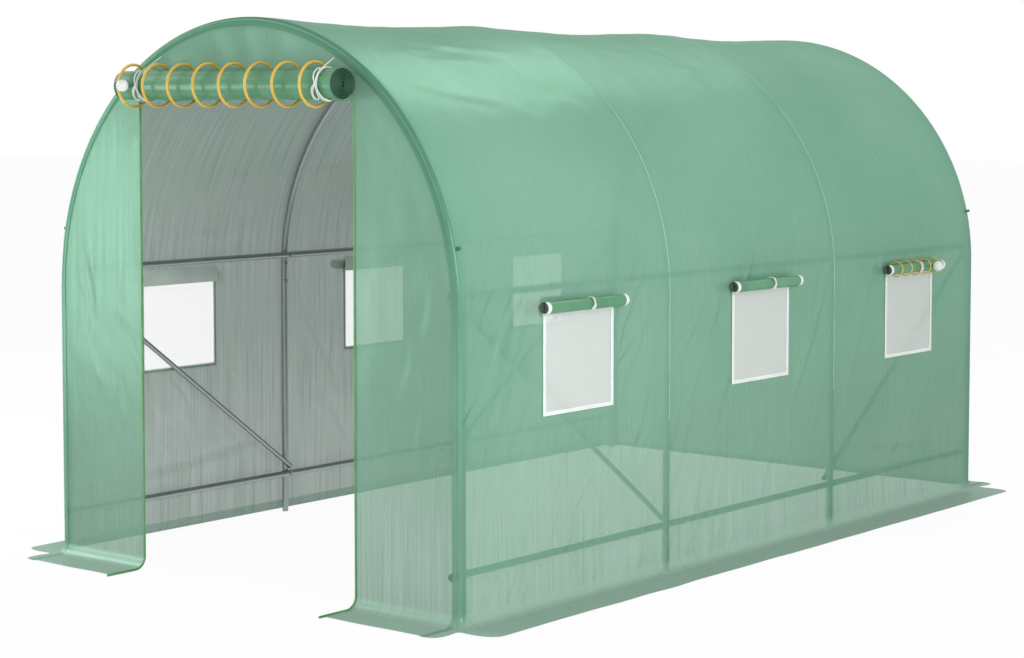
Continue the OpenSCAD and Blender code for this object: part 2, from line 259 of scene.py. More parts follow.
# %% Woven film
def woven_film(name, face, inner, through, rib_mm=10.0, pinholes=0.135, scatter=0.30, roughness=0.31, roof_share=0.45,
        crumple=0.0058, low=None):
    """Coated polyethylene weave: face and inner are the colours of its two sides, through what it lets pass.
    crumple is the height of its creases, low the colour and pinhole share it fades to towards the ground."""
    material, node = blank_material(name)
    cloth = node("ShaderNodeUVMap", uv_map="cloth")
    place = node("ShaderNodeTexCoord")
    across = node("ShaderNodeSeparateXYZ", [cloth])
    turns = 2 * math.pi / (rib_mm / 1000)
    rib, weft = (node("SINE", [node("MULTIPLY", [across.outputs[k], turns])]) for k in (0, 1))
    # Threads differ: long narrow streaks, 12 mm wide and half a metre long.
    streak_map = node("ShaderNodeMapping", {"Vector": cloth, "Scale": (1 / 0.012, 1 / 0.5, 1)})
    streak = node("ShaderNodeTexNoise", {"Vector": streak_map, "Scale": 1.0, "Detail": 2.0})
    cloud = node("ShaderNodeTexNoise", {"Vector": place.outputs["Object"], "Scale": 1.6, "Detail": 3.0})
    # The threads are pulled apart most near the ground, where the wall is stretched between hoops and skirt.
    height = node("ShaderNodeSeparateXYZ", [place.outputs["Object"]]).outputs[2]
    pulled = node(MAP_RANGE, [height, 0.25, 0.75, 2.2, 0.9])
    # The share that goes straight through rises and falls with the threads.
    threads = node(MAP_RANGE, [streak, 0.3, 0.7, -0.022, 0.026])
    threads = node("MULTIPLY_ADD", [rib, 0.020, threads])
    threads = node("MULTIPLY_ADD", [weft, 0.006, threads])
    holes = node("MULTIPLY_ADD", [threads, pulled, pinholes])
    if low:
        blend = node(MAP_RANGE, [height, 0.80, 1.35, 1.0, 0.0])
        holes = node("MULTIPLY_ADD", [blend, low[1] - pinholes, holes])
    # The skirt lies on the ground and the roof hangs loose, so their weave stays closed.
    on_ground = node(MAP_RANGE, [height, 0.008, 0.05, 0.35, 1.0])
    on_roof = node(MAP_RANGE, [height, 1.08, 1.45, 1.0, roof_share])
    holes = node("MULTIPLY", [holes, node("MULTIPLY", [on_ground, on_roof])])
    passed = node("MULTIPLY_ADD", [on_roof, scatter * 0.4, scatter * 0.6])
    # Low on the walls the film is thinnest: the sunlit floor shines through it and the tubes show as dark bands.
    thin = node(MAP_RANGE, [height, 0.35, 0.80, 1.0, 0.0])
    thin = node("MULTIPLY", [thin, on_ground])
    passed = node("MULTIPLY_ADD", [thin, scatter * 0.3, passed])
    holes = node("MULTIPLY_ADD", [thin, 0.02, holes])
    tone = node(MAP_RANGE, [cloud, 0.35, 0.65])
    colour = node("ShaderNodeMix", {0: tone, 6: linear(face[0]), 7: linear(face[1])}, data_type="RGBA")
    if low:
        colour = node("ShaderNodeMix", {0: blend, 6: colour.outputs[2], 7: linear(low[0])}, data_type="RGBA")
    # Low down the weave turns paler and greyer: dust where the skirt lies on the ground, and a painted highlight on its
    # bend up into the wall.
    dust_and_painted_highlight = node(MAP_RANGE, [height, 0.008, 0.05, 0.7, 0.0])
    colour = node("ShaderNodeMix", {0: dust_and_painted_highlight, 6: colour.outputs[2], 7: linear("#a4ccb7")}, data_type="RGBA")
    # The inner side is thinly coated, so its threads show darker and lighter.
    bare = node("MULTIPLY_ADD", [threads, 13.0, 0.5], use_clamp=True)
    inside = node("ShaderNodeMix", {0: bare, 6: linear(inner[0]), 7: linear(inner[1])}, data_type="RGBA")
    behind = node("ShaderNodeNewGeometry").outputs["Backfacing"]
    colour = node("ShaderNodeMix", {0: behind, 6: colour.outputs[2], 7: inside.outputs[2]}, data_type="RGBA")
    gloss = node(MAP_RANGE, [streak, 0.3, 0.7, roughness - 0.05, roughness + 0.06])
    relief = node("MULTIPLY_ADD", [rib, 0.4, streak])
    bump = node("ShaderNodeBump", {"Height": relief, "Strength": 0.35, "Distance": 0.0004})
    # The crumples left by the box it was folded in: slanting ridges 130 mm apart and 360 mm long, in patches.
    slanted = node("ShaderNodeMapping", {"Vector": cloth, "Rotation": (0, 0, 0.5), "Scale": (0.13, 0.36, 1)},
        vector_type="TEXTURE")
    fold = node("ShaderNodeTexNoise", {"Vector": slanted, "Scale": 1.0, "Detail": 1.5, "Distortion": 0.25})
    fold = node("ABSOLUTE", [node("SUBTRACT", [fold, 0.5])])
    fold = node(MAP_RANGE, [fold, 0.0, 0.14, 1.0, 0.0], interpolation_type="SMOOTHSTEP")
    patch = node("ShaderNodeTexNoise", {"Vector": place.outputs["Object"], "Scale": 2.6, "Detail": 1.0})
    patch = node(MAP_RANGE, [patch, 0.42, 0.60, 0.12, 1.0])
    fold = node("MULTIPLY", [fold, patch])
    for low_z, high_z, low_share, high_share in ((1.02, 1.35, 1.0, 0.07), (0.10, 0.55, 0.35, 1.0)):
        flatter = node(MAP_RANGE, [height, low_z, high_z, low_share, high_share])
        fold = node("MULTIPLY", [fold, flatter])
    bump = node("ShaderNodeBump", {"Height": fold, "Strength": 1.0, "Distance": crumple, "Normal": bump})
    film = node("ShaderNodeBsdfPrincipled", {"Base Color": colour.outputs[2], "Roughness": gloss, "IOR": 1.5,
        "Specular IOR Level": 0.0, "Metallic": 0.20, "Normal": bump})
    glow = node("ShaderNodeBsdfTranslucent", {"Color": linear(through), "Normal": bump})
    body = node("ShaderNodeMixShader", [passed, film, glow])
    clear = node("ShaderNodeBsdfTransparent", {"Color": (1, 1, 1, 1)})
    mixed = node("ShaderNodeMixShader", [holes, body, clear])
    node("ShaderNodeOutputMaterial", {"Surface": mixed})
    return material


cover_film = woven_film("woven_polyethylene_film", ("#8ac6a8", "#94cdb0"), ("#86a699", "#b1cbc0"), "#7f8582")
# The end walls hang flat and loose, so more light comes straight through them. Their colour is a little darker and
# greyer than the cover's, which is painted shade.
wall_film = woven_film("loose_polyethylene_film", ("#86ba9f", "#90c4aa"), ("#8eaa9e", "#a6c2b6"), "#7f8582",
    pinholes=0.14, roof_share=0.85, crumple=0.0010)
# The hem is sewn double, so hardly anything shows straight through it. Its darker colour is painted shade of the bend
# round the end hoop and the tube behind it, fading out towards the ground.
hem_film_painted_shade = woven_film("doubled_hem_painted_shade", ("#649c7e", "#6ca487"), ("#7a9186", "#82998d"), "#7d8d85",
    pinholes=0.05, scatter=0.26, crumple=0.0, low=("#88c3a5", 0.135))

# %% [markdown]
# ## The shape of the cover
# Pulled tight over the hoops, the cover follows them exactly. Between two hoops nothing holds it, so it sags a little
# inwards. At the ground it turns outwards in a soft bend and ends in a skirt that is weighed down with soil. The
# sheet is one grid: its rows run along the tunnel, from the hem of the left skirt over the roof to the right hem.
# Two kinds of relief are added: soft random lumps, and long slanting creases like those of a sheet that was folded.

# %% Relief of a stretched sheet
bend_r, hem_z = 0.045, 0.003
hoop_gap = hoop_ys[1] - hoop_ys[0]


def soft_lumps(u, v, lump_u, lump_v, seed):
    """Smooth random relief between -1 and 1, with lumps of about that size in metres."""
    table = np.random.default_rng(seed).uniform(-1, 1, (64, 64))
    a, b = u / lump_u + 0.37 * v / lump_v, v / lump_v - 0.21 * u / lump_u
    i, j = np.floor(a).astype(int), np.floor(b).astype(int)
    s, t = a - i, b - j
    s, t = s * s * (3 - 2 * s), t * t * (3 - 2 * t)
    low = table[i % 64, j % 64] * (1 - s) + table[(i + 1) % 64, j % 64] * s
    high = table[i % 64, (j + 1) % 64] * (1 - s) + table[(i + 1) % 64, (j + 1) % 64] * s
    return low * (1 - t) + high * t


def creases(u, v, lines):
    """Soft ridges with a shallow valley beside them. Each line is (u, v, u, v, half width, height)."""
    relief = np.zeros(np.broadcast(u, v).shape)
    for u0, v0, u1, v1, width, height in lines:
        du, dv = u1 - u0, v1 - v0
        along = ((u - u0) * du + (v - v0) * dv) / (du * du + dv * dv)
        aside = ((u - u0) * dv - (v - v0) * du) / math.hypot(du, dv) + 0.25 * width * np.sin(9 * along)
        fade = np.sin(math.pi * np.clip(along, 0, 1))
        relief += height * fade * (np.exp(-(aside / width) ** 2) - 0.6 * np.exp(-((aside - 1.8 * width) / width) ** 2))
    return relief


def sag(y):
    """How far a point along the tunnel is from a hoop's hold: 0 at the hoops, 1 halfway between them."""
    share = np.clip((y - hoop_ys[0]) / hoop_gap, 0, 3)
    return np.sin(math.pi * (share - np.floor(np.minimum(share, 2.9999)))) ** 1.2


# %% Rows of the cover, from the hem of one side up to the ridge
roof_rows = 99


def skirt_rows(width):
    """The rows of a skirt of this width and of its bend up into the wall, from the hem inwards. Each row has its
    distance outside the wall, its height, and the two parts of its outward normal."""
    rows = [(out, hem_z, 0.0, 1.0) for out in np.linspace(width, bend_r, 11)[:-1]]
    for turn in np.radians(np.linspace(90, 0, 10)[:-1]):
        sine, cosine = math.sin(turn), math.cos(turn)
        rows.append((bend_r * (1 - cosine), hem_z + bend_r * (1 - sine), cosine, sine))
    return rows


side_rows = skirt_rows(skirt_out)
for low, high, count in ((hem_z + bend_r, cut_low, 36), (cut_low, cut_high, 22), (cut_high, spring_z, 2)):
    side_rows += [(0.0, z, 1.0, 0.0) for z in np.linspace(low, high, count + 1)[:-1]]
for turn in np.radians(np.linspace(90, 0, roof_rows)):
    sine, cosine = math.sin(turn), math.cos(turn)
    side_rows.append((cover_r * (sine - 1), spring_z + cover_r * cosine, sine, cosine))
side_rows = np.array(side_rows)
side_path = np.concatenate([[0], np.cumsum(np.hypot(np.diff(side_rows[:, 0]), np.diff(side_rows[:, 1])))])
half_path = side_path[-1]
print("the cover is", round(2 * half_path, 3), "m wide from hem to hem")


# %% Columns of the cover: grid lines at every window's edges and at the hoops
def spread(marks, step):
    """Values about a step apart from the first mark to the last, with every mark among them."""
    values = [marks[0]]
    for a, b in zip(marks, marks[1:]):
        values += list(np.linspace(a, b, max(1, round((b - a) / step)) + 1)[1:])
    return np.array(values)


turn_r, lip_w = 0.018, 0.014           # the cover's bend round the end hoops, and its edge turned in over the wall
straight_y = wall_y - turn_r
marks = [-straight_y, *hoop_ys[1:3], straight_y]
marks += [w["y"] + end * cut_half for w in windows for end in (-1, 1)]
columns = spread(sorted(set(round(m, 6) for m in marks)), 0.0158)
print(len(columns), "columns along the tunnel")


# %% Creases: the longest listed, the rest at random with a fixed seed
def random_crease(rng, u, v, lengths, slants, widths, heights, upright=True):
    """A crease with its middle at (u, v). Its length, slant, half width and height are drawn from these ranges."""
    length, slant = rng.uniform(*lengths), rng.uniform(*slants)
    du, dv = (slant * length / 2, length / 2) if upright else (length / 2, slant * length / 2)
    return u - du, v - dv, u + du, v + dv, rng.uniform(*widths), rng.uniform(*heights)


rng = np.random.default_rng(7)
wall_creases = [(0.22, 0.42, 0.56, 1.06, 0.020, 0.0050), (0.40, 0.30, 0.62, 0.98, 0.014, 0.0030),
    (-0.62, 0.62, -0.30, 1.02, 0.016, 0.0034), (-1.70, 1.00, -0.30, 1.06, 0.016, 0.0026),
    (-0.45, 1.05, 0.80, 1.08, 0.016, 0.0022), (0.55, 0.30, 1.55, 0.20, 0.020, 0.0030),
    (-0.84, 0.30, -0.66, 0.85, 0.012, 0.0026), (0.66, 0.45, 0.90, 1.00, 0.014, 0.0028)]
wall_creases += [random_crease(rng, rng.uniform(-1.6, 1.6), rng.uniform(0.18, 0.95), (0.12, 0.5), (0.25, 0.75),
    (0.010, 0.022), (0.0012, 0.0032)) for i in range(30)]
roof_creases = [random_crease(rng, rng.uniform(-1.6, 1.6), rng.uniform(0.1, 1.5), (0.2, 0.7), (-0.35, 0.35),
    (0.014, 0.03), (0.001, 0.0024), upright=False) for i in range(26)]


# %% Relief of one side of the cover
def cover_relief(y, v, side):
    """How far the cover stands outside its plain shape, in metres, at y and at a distance v from the hem."""
    mirror = 1 if side > 0 else -1
    v_spring = side_path[-roof_rows]
    up = np.clip((v - v_spring) / (half_path - v_spring), 0, 1)       # 0 at the spring, 1 at the ridge
    low = np.clip((v - 0.22) / 0.15, 0, 1)                             # 0 on the skirt
    relief = -(0.0045 + 0.0115 * np.sin(up * math.pi / 2) ** 1.5) * sag(y) * low
    free = np.clip(sag(y) * 3, 0, 1)
    relief = relief + 0.0030 * soft_lumps(y, v, 0.30, 0.22, 11 + side) * free * low
    relief += 0.0013 * soft_lumps(y, v, 0.08, 0.06, 21 + side) * free * low
    z = v - 0.25 + hem_z + bend_r                                      # about the height above the ground
    window_hold = np.ones(np.broadcast(y, v).shape)
    for w in windows:
        if w["side"] == side:
            dy = np.abs(y - w["y"]) - window_half
            dz = np.abs(z - (w["sill"] + w["top"]) / 2) - (w["top"] - w["sill"]) / 2
            window_hold *= np.clip((np.hypot(np.maximum(dy, 0), np.maximum(dz, 0)) - 0.004) / 0.05, 0, 1)
    relief = relief * (0.25 + 0.75 * window_hold)
    relief += 2.2 * creases(mirror * y, z, wall_creases) * window_hold * low * (0.35 + 0.65 * free) * (z < 1.1)
    relief += creases(y, v - v_spring, roof_creases) * (v > v_spring) * free
    return relief


# %% [markdown]
# At each end the cover turns round the end hoop and runs a little way in over the end wall, where it is sewn down.
# Low on the corner the same columns fan out like a trumpet, because the skirts of the side and of the end wall meet
# there. The cut between the two flaps is a soft wave that leaves a little over a third of the skirt's width.

# %% Build one corner's columns and the whole cover
corner_cut = {(-1, -1): 0.64, (1, -1): 0.60, (-1, 1): 0.66, (1, 1): 0.64}


def edge_reach(fan, cut):
    """How much of the skirt's width is left at an angle round the corner, from 0 to 1."""
    aside = np.clip(np.abs(fan - 0.46) / 0.40, 0, 1)
    return 1 - cut * np.cos(aside * math.pi / 2) ** 2


def cover_side(side):
    """Points and cloth places of one side of the cover: rows from the hem to the ridge, columns along Y."""
    out, z, nx, nz = side_rows.T
    v = side_path
    grid_y, grid_v = np.meshgrid(columns, v)
    relief = cover_relief(grid_y, grid_v, side)
    on_skirt = np.clip((out - bend_r) / (skirt_out - bend_r), 0, 1)[:, None]
    ripple = 0.0014 * (1 + soft_lumps(grid_y, grid_v, 0.16, 0.4, 31 + side)) * on_skirt
    hem_wave = 0.0015 * soft_lumps(grid_y, grid_v * 0, 0.22, 1.0, 35 + side) * on_skirt
    x = cover_r + out[:, None] * (1 + 0 * grid_y) + nx[:, None] * relief + np.minimum(hem_wave, 0.0)
    points = np.stack([side * x, grid_y, z[:, None] + nz[:, None] * relief + ripple], axis=-1)
    flat = np.stack([grid_y, grid_v], axis=-1)
    blocks, flats = [points], [flat]
    shares = np.linspace(0, 1, 8)[1:]
    for end in (-1, 1):
        edge = points[:, 0 if end < 0 else -1]
        steps_in = [(turn_r * (1 - math.cos(t * math.pi / 2)), turn_r * math.sin(t * math.pi / 2)) for t in shares]
        steps_in += [(turn_r + lip_w * s, turn_r + 0.0012) for s in shares]
        for k, (inward, forward) in enumerate(steps_in):
            fan = (k + 1) / len(steps_in)
            calm, angle = (1 - fan) ** 2, fan * math.pi / 2
            flared = np.maximum(out, 0) * edge_reach(fan, corner_cut[(side, end)]) * (1 - 0.09 * fan)
            base_x = cover_r + np.minimum(out, 0) - inward * np.where(out < 0, nx, 1.0)
            base_z = z - inward * np.where(out < 0, nz, 0.0)
            px = base_x + flared * math.cos(angle) + (side * edge[:, 0] - cover_r - out) * calm
            py = end * (straight_y + forward + flared * math.sin(angle))
            pz = base_z + (edge[:, 2] - z) * np.where(out < 0, calm, 1.0)
            place = 0 if end < 0 else len(blocks)
            blocks.insert(place, np.stack([side * px, py, pz], axis=-1)[:, None])
            flats.insert(place, np.stack([np.full(len(v), end * (straight_y + inward + forward)), v], axis=-1)[:, None])
    return np.concatenate(blocks, axis=1), np.concatenate(flats, axis=1)


left_points, left_flat = cover_side(-1)
right_points, right_flat = cover_side(1)
left_points[-1] = right_points[-1] = (left_points[-1] + right_points[-1]) / 2
right_flat[..., 1] = 2 * half_path - right_flat[..., 1]
points = np.concatenate([left_points, right_points[::-1][1:]])
flat = np.concatenate([left_flat, right_flat[::-1][1:]])

# %% Leave the windows open and make the mesh
keep = np.ones((points.shape[0] - 1, points.shape[1] - 1), bool)
centre = (points[:-1, :-1] + points[1:, 1:]) / 2
for w in windows:
    keep &= ~((np.sign(centre[..., 0]) == w["side"]) & (np.abs(centre[..., 1] - w["y"]) < cut_half)
        & (centre[..., 2] > cut_low) & (centre[..., 2] < cut_high))
cover = sheet_from_grid("tunnel_cover", points, flat, cover_film, keep, flip=True)
# The bend round each end hoop takes the hem film, whose darker colour is painted shade.
paint_faces(cover, hem_film_painted_shade, lambda face: abs(face.center.y) > straight_y + 0.004 and face.center.z > 0.30)
finish_piece(cover, "cover", "left_cover", "right_cover", "roof_cover", "left_skirt", "right_skirt")

# %% [markdown]
# ## The end walls
# Each end wall is a flat sheet in the shape of the hoop with a flap at the ground like the skirt. The front one has
# the doorway cut out. Its grid bends its rows so that one of them follows the top of the doorway and the highest one
# follows the arch. Short gathers radiate from the top, where the flat wall is sewn to the round edge.


# %% Build an end wall
flap_out = skirt_out - 0.015           # the end walls' flaps are a little narrower than the sides' skirts


def end_wall_points(end, doorway):
    """The grid of an end wall: x across it, the distance out from the wall, the height, and the ripple of its flap."""
    reach = cover_r - turn_r * 0.4
    xs = spread([-reach, *([-door_half, door_half] if doorway else [0.0]), reach], 0.016)
    wall_rows, side_top_rows, top_rows = 56, 42, 16 if doorway else 22
    arch_z = spring_z + np.sqrt(np.maximum(reach ** 2 - xs ** 2, 0))
    arch_at_door = math.sqrt(reach ** 2 - door_half ** 2)
    share = (door_top - spring_z) / arch_at_door
    knee = np.where(np.abs(xs) <= door_half + 1e-6, door_top, spring_z + (arch_z - spring_z) * share)
    rows = [(out, z) for out, z, _, _ in skirt_rows(flap_out)]
    rows += [(0.0, z) for z in np.linspace(hem_z + bend_r, spring_z, wall_rows + 1)[:-1]]
    rows += [(0.0, spring_z + (knee - spring_z) * s) for s in np.linspace(0, 1, side_top_rows + 1)[:-1]]
    rows += [(0.0, knee + (arch_z - knee) * s) for s in np.linspace(0, 1, top_rows + 1)]
    out, z = (np.array([np.full(len(xs), row[k]) for row in rows]) for k in (0, 1))
    x = np.broadcast_to(xs, out.shape).copy()
    on_flap = np.clip((out - bend_r) / (flap_out - bend_r), 0, 1)
    ripple = 0.0014 * (1 + soft_lumps(x, out, 0.15, 0.4, 51 + end)) * on_flap
    return x, out, z, ripple


def end_wall(name, end, doorway, stands_for):
    """The sheet of the end wall at the front (end -1) or the rear (end 1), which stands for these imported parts."""
    x, out, z, ripple = end_wall_points(end, doorway)
    steps = np.hypot(np.diff(out, axis=0), np.diff(z, axis=0))
    v = np.concatenate([np.zeros((1, x.shape[1])), np.cumsum(steps, axis=0)])
    # Everything fades to nothing at the sewn edge, along the doorway and on the flap.
    from_arch = np.clip((cover_r - 0.03 - np.hypot(x, np.maximum(z - spring_z, 0))) / 0.08, 0, 1)
    from_ground = np.clip((z - 0.09) / 0.12, 0, 1)
    hold = from_arch * from_ground
    if doorway:
        beside = np.abs(x) - door_half
        from_door = np.where(z < door_top, beside, np.hypot(np.maximum(beside, 0), z - door_top))
        hold = hold * np.clip(from_door / 0.06, 0, 1)
    relief = 0.0035 * soft_lumps(x, z, 0.28, 0.33, 61 + end) + 0.0012 * soft_lumps(x, z, 0.07, 0.12, 71 + end)
    rng = np.random.default_rng(81 + end)
    relief = relief + creases(x, z, [random_crease(rng, rng.choice([-1, 1]) * rng.uniform(0.58, 0.92),
        rng.uniform(0.25, 1.3), (0.15, 0.45), (-0.35, 0.35), (0.010, 0.018), (0.0012, 0.003)) for i in range(16)])
    # Gathers spread like rays from a point 0.35 m over the start of the arch, and only near its top.
    centre_z = spring_z + 0.35
    angle, radius = np.arctan2(x, z - centre_z), np.hypot(x, z - centre_z)
    gather = np.sin(angle * 17 + 1.3 * np.sin(angle * 5)) * np.clip((radius - 0.36) / 0.25, 0, 1)
    relief = relief + 0.0055 * gather * (z > spring_z + 0.55) * np.clip((0.64 - radius) / 0.05, 0, 1)
    y = end * (wall_y - 0.001 + out) - end * relief * hold
    points = np.stack([x, y, z + ripple], axis=-1)
    keep = np.ones((x.shape[0] - 1, x.shape[1] - 1), bool)
    if doorway:
        mid_x, mid_z = (x[:-1, :-1] + x[1:, 1:]) / 2, (z[:-1, :-1] + z[1:, 1:]) / 2
        keep &= ~((np.abs(mid_x) < door_half) & (mid_z < door_top))
    wall = sheet_from_grid(name, points, np.stack([x, v], axis=-1), wall_film, keep, flip=end > 0)
    finish_piece(wall, "cover", *stands_for)
    return wall


front_wall = end_wall("front_wall", -1, True, ["front_wall_left", "front_wall_right", "front_wall_top",
    "front_left_skirt", "front_right_skirt"])
rear_wall = end_wall("rear_wall_sheet", 1, False, ["rear_wall", "rear_skirt"])

# %% [markdown]
# ## Geometry Nodes for what repeats
# Stitches, screws and rolled cloth follow simple rules, so each is a small node tree with named inputs. One helper
# makes a tree with its inputs, one ends a tree that makes copies, and one runs a tree on a mesh, keeps the result as
# a plain mesh and drops the modifier.


# %% Geometry Nodes helpers
def geometry_tree(name, inputs):
    """A geometry node tree with these named inputs, its function to add a node, and its Group Input's outputs."""
    tree = bpy.data.node_groups.new(name, "GeometryNodeTree")
    tree.interface.new_socket("Geometry", in_out="INPUT", socket_type="NodeSocketGeometry")
    for label, kind in inputs.items():
        tree.interface.new_socket(label, in_out="INPUT", socket_type=f"NodeSocket{kind}")
    tree.interface.new_socket("Geometry", in_out="OUTPUT", socket_type="NodeSocketGeometry")
    return tree, partial(add, tree), add(tree, "NodeGroupInput").outputs


def put_copies(node, placed, material):
    """The end of a tree that copies a piece to many points, makes the copies real and gives them a material."""
    real = node("GeometryNodeRealizeInstances", [node("GeometryNodeInstanceOnPoints", placed)])
    painted = node("GeometryNodeSetMaterial", {"Geometry": real, "Material": material})
    node("NodeGroupOutput", [painted])


def grow(name, tree, values, mesh=None, wall=0.0):
    """Runs a tree on a mesh and keeps the result as a plain mesh, thickened to wall if that isn't 0."""
    piece = put_in_scene(name, mesh or bpy.data.meshes.new(name))
    modifier = piece.modifiers.new(tree.name, "NODES")
    modifier.node_group = tree
    for item in tree.interface.items_tree:
        if item.in_out == "INPUT" and item.name in values:
            modifier[item.identifier] = values[item.name]
    if wall:
        shell = piece.modifiers.new("wall", "SOLIDIFY")
        shell.thickness, shell.offset = wall, 0.0
    made = bpy.data.meshes.new_from_object(piece.evaluated_get(bpy.context.evaluated_depsgraph_get()))
    piece.modifiers.clear()
    piece.data = made
    made.polygons.foreach_set("use_smooth", [True] * len(made.polygons))
    return piece


def move_points(piece, change):
    """Passes all the points of a piece, as an array, through a function that returns their new places."""
    mesh = piece.data
    points = np.empty(len(mesh.vertices) * 3)
    mesh.vertices.foreach_get("co", points)
    mesh.vertices.foreach_set("co", change(points.reshape(-1, 3)).ravel())
    mesh.update()


def line_mesh(name, lines):
    """A mesh of open lines, to run Geometry Nodes along."""
    points, edges = [], []
    for line in lines:
        start = len(points)
        points += [tuple(p) for p in line]
        edges += [(start + i, start + i + 1) for i in range(len(line) - 1)]
    mesh = bpy.data.meshes.new(name)
    mesh.from_pydata(points, edges, [])
    return mesh


# %% [markdown]
# ## Finishes of the small parts
# The frame is hot-dip galvanised steel tube. Molten zinc freezes in flat crystals, the spangle, which differ a little
# in brightness. They are some 8 mm wide, and a cell pattern draws them. The tube is fairly rough, so it mirrors the
# studio only as a soft bright line along its middle.

# %% Galvanised steel
galvanised, node = blank_material("hot_dip_galvanised_steel_tube")
place = node("ShaderNodeTexCoord").outputs["Object"]
spangle = node("ShaderNodeTexVoronoi", {"Vector": place, "Scale": 1 / 0.008})
dust = node("ShaderNodeTexNoise", {"Vector": place, "Scale": 9.0, "Detail": 2.0})
shade = node("MULTIPLY_ADD", [spangle.outputs["Color"], 0.5, dust])
shade = node(MAP_RANGE, [shade, 0.2, 1.3])
zinc = node("ShaderNodeMix", {0: shade, 6: linear("#949e9c"), 7: linear("#a4adab")}, data_type="RGBA")
dull = node(MAP_RANGE, [spangle.outputs["Color"], 0.0, 1.0, 0.36, 0.38])
grain = node("ShaderNodeBump", {"Height": dust, "Strength": 0.03, "Distance": 0.0003})
steel = node("ShaderNodeBsdfPrincipled", {"Base Color": zinc.outputs[2], "Roughness": dull, "Metallic": 1.0,
    "Normal": grain})
node("ShaderNodeOutputMaterial", {"Surface": steel})
frame_nodes = [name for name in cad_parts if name.endswith(("_leg", "_arch", "_rail", "_brace"))]
for name in frame_nodes:
    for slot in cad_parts[name].material_slots:
        slot.material = galvanised
print(len(frame_nodes), "frame parts are galvanised")


# %% [markdown]
# Plastics and cords differ from each other in colour, gloss and a fine relief, so one function makes them all: a
# base colour that wanders between two shades, a roughness, and a relief whose size is given in millimetres.

# %% Plastics, tapes and cords
def plastic(name, light, dark, roughness, relief_mm, relief=0.3, weave=False, coat=0.0):
    """A dielectric finish with a slightly uneven colour and a relief of that size."""
    material, node = blank_material(name)
    place = node("ShaderNodeTexCoord").outputs["Object"]
    patch = node("ShaderNodeTexNoise", {"Vector": place, "Scale": 9.0, "Detail": 3.0})
    if weave:
        turned = node("ShaderNodeMapping", {"Vector": place, "Rotation": (0.6, 0.5, 0.8)})
        fine = node("ShaderNodeTexWave", {"Vector": turned, "Scale": 0.314 / (relief_mm / 1000), "Distortion": 1.5,
            "Detail": 1.0})
    else:
        fine = node("ShaderNodeTexNoise", {"Vector": place, "Scale": 1000 / relief_mm, "Detail": 2.0})
    level = fine.outputs[1 if weave else 0]
    colour = node(MAP_RANGE, [patch, 0.35, 0.65])
    colour = node("ShaderNodeMix", {0: colour, 6: linear(dark), 7: linear(light)}, data_type="RGBA")
    rough = node(MAP_RANGE, [level, 0.0, 1.0, roughness - 0.06, roughness + 0.06])
    bump = node("ShaderNodeBump", {"Height": level, "Strength": relief, "Distance": relief_mm / 4000})
    body = node("ShaderNodeBsdfPrincipled", {"Base Color": colour.outputs[2], "Roughness": rough, "IOR": 1.5,
        "Coat Weight": coat, "Coat Roughness": 0.12, "Normal": bump})
    node("ShaderNodeOutputMaterial", {"Surface": body})
    return material


# Woven polypropylene tape: bright white and matt, with threads 2 mm wide.
white_tape = plastic("woven_polypropylene_tape", "#fdfefd", "#f3f6f4", 0.62, 2.0, weave=True)
# Polyester sewing thread: pale green with a silky shine.
thread = plastic("green_polyester_sewing_thread", "#6fa78a", "#659c7f", 0.45, 1.0)
# Braided polyester cord: off-white with slanting strands 2 mm wide.
braid = plastic("braided_polyester_cord", "#f3f5f2", "#dfe4df", 0.55, 2.0, 0.5, weave=True)
# Moulded polypropylene rings: warm yellow with a soft gloss.
yellow_plastic = plastic("moulded_yellow_polypropylene", "#ecc555", "#e0b142", 0.40, 6.0, 0.1)
# Polished nylon ball: white with a clear gloss.
ball_nylon = plastic("polished_white_nylon", "#f6f8f6", "#eceeec", 0.25, 8.0, 0.05, coat=0.3)
# Soft vinyl piping: dark green and fairly glossy.
vinyl = plastic("green_vinyl_piping", "#64a06b", "#569059", 0.34, 5.0, 0.15)
# Moulded nylon clips: dark green and matt.
clip_nylon = plastic("moulded_green_nylon", "#3f7458", "#38684f", 0.5, 3.0, 0.15)

for name, material in (("door_rings", yellow_plastic), ("window_rings", yellow_plastic), ("door_piping", vinyl)):
    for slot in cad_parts[name].material_slots:
        slot.material = material

# %% [markdown]
# ## Sewn seams
# The cover is sewn together at the second and third hoop, and the doubled seam lets less light through but catches
# more from outside, so it shows as a thin pale line. It is a low ridge that follows the same rows as the cover.
# Along the end hoops a line of stitches holds the turned-in edge to the end wall.

# %% Seam ridges over the second and third hoop
seam_film = plastic("sewn_double_film", "#a2ceb6", "#98c5ac", 0.45, 4.0, 0.3)


def profile_points(lift, lowest):
    """Both sides of the cover's plain shape above lowest as one line of (x, z), raised by lift, side to side."""
    rows = side_rows[side_rows[:, 1] > lowest]
    x = cover_r + rows[:, 0] + rows[:, 2] * lift
    z = rows[:, 1] + rows[:, 3] * lift
    return np.concatenate([np.stack([-x, z], 1), np.stack([x, z], 1)[::-1][1:]])


ridge_shape = ((-0.0026, -0.0006), (-0.0014, 0.0010), (0.0, 0.0014), (0.0014, 0.0010), (0.0026, -0.0006))
for name, y in (("second_hoop_seam", hoop_ys[1]), ("third_hoop_seam", hoop_ys[2])):
    lines = [np.insert(profile_points(lift, 0.55), 1, y + off, axis=1) for off, lift in ridge_shape]
    points = np.stack(lines, axis=1)
    flat = np.stack([points[..., 1], points[..., 2]], axis=-1)
    seam = sheet_from_grid(name, points, flat, seam_film, flip=True)
    finish_piece(seam, "cover")

